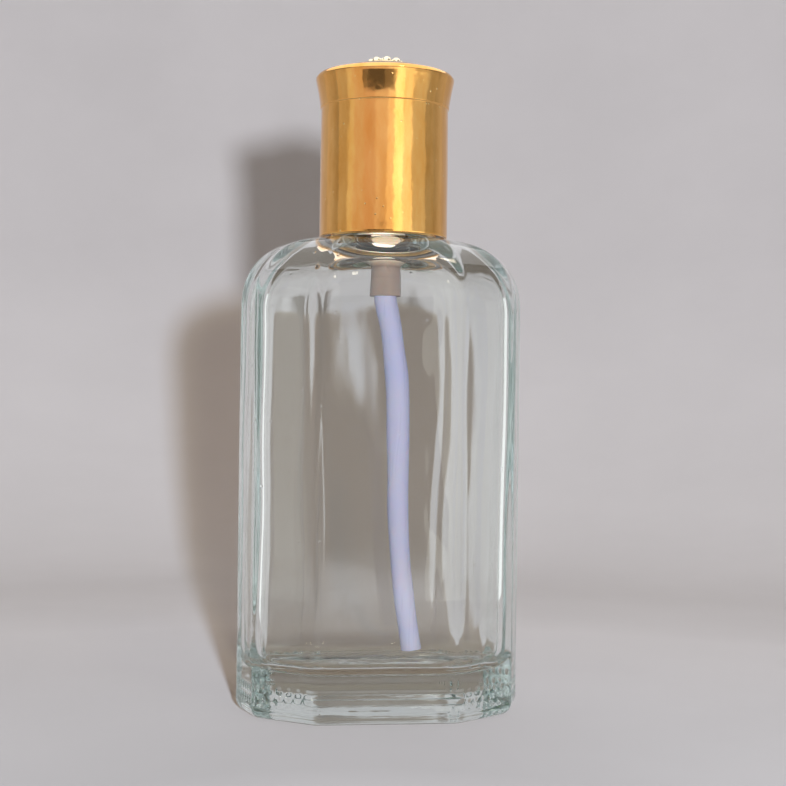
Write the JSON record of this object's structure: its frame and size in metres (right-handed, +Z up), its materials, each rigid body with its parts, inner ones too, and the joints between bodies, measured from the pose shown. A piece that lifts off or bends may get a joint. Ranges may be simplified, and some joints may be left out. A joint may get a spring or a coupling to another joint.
{
  "type": "perfume spray bottle",
  "caption": "Clear faceted glass perfume bottle with a crimped spray pump, a bowed dip tube, a press-down gold button and a flared pull-off gold cap.",
  "frame": {"origin": "centre of the bottle's base, on the plane it stands on", "axes": "+Z up the bottle's axis to the cap, +X along the wide side of the glass, -Y to the front, the way the spray nozzle points"},
  "size_m": [0.049, 0.0296, 0.1134],
  "materials": {
    "glass": "clear moulded soda-lime glass with a faint green tint and softly wavy walls",
    "gold_cap": "bright gold-anodised aluminium, mirror gloss with fine scuffs and specks",
    "gold_aluminium": "bright gold-anodised thin aluminium sheet",
    "rosette": "pale gold metallised beads",
    "white_plastic": "white moulded polypropylene",
    "milky_plastic": "natural milky polypropylene",
    "tube_plastic": "translucent polyethylene tube with a faint lavender cast",
    "rubber": "matt dark sealing rubber",
    "steel": "bright stainless steel"
  },
  "bodies": {
    "bottle": {"glass_bottle": "glass", "neck_gasket": "rubber", "pump_housing": "milky_plastic", "dip_tube": "tube_plastic", "return_spring": "steel", "stem_seal": "rubber", "pump_turret": "white_plastic", "crimp_ferrule": "gold_aluminium", "collar_insert": "white_plastic", "collar_shell": "gold_aluminium"},
    "valve_ball": {"inlet_ball": "steel"},
    "plunger": {"pump_stem": "white_plastic", "piston_seat": "white_plastic"},
    "piston": {"piston": "white_plastic"},
    "button": {"actuator_core": "white_plastic", "actuator_shell": "gold_aluminium", "nozzle_insert": "white_plastic"},
    "cap": {"cap_shell": "gold_cap", "cap_liner": "white_plastic", "cap_top_plate": "gold_cap", "cap_rosette": "rosette"}
  },
  "joints": [
    {"name": "cap_pull", "type": "slide", "parent": "bottle", "child": "cap", "axis": [0, 0, 1], "range_m": [0, 0.035]},
    {"name": "button_press", "type": "slide", "parent": "bottle", "child": "plunger", "axis": [0, 0, -1], "range_m": [0, 0.0038], "stiffness_N_per_m": 1200, "springref_m": -0.004, "deforming": ["return_spring"]},
    {"name": "button_turn", "type": "hinge", "parent": "plunger", "child": "button", "pos_m": [0, 0, 0.1], "axis": [0, 0, 1], "continuous": true},
    {"name": "piston_slip", "type": "slide", "parent": "plunger", "child": "piston", "axis": [0, 0, 1], "range_m": [0, 0.0006]},
    {"name": "ball_lift", "type": "slide", "parent": "bottle", "child": "valve_ball", "axis": [0, 0, 1], "range_m": [0, 0.0008]}
  ]
}
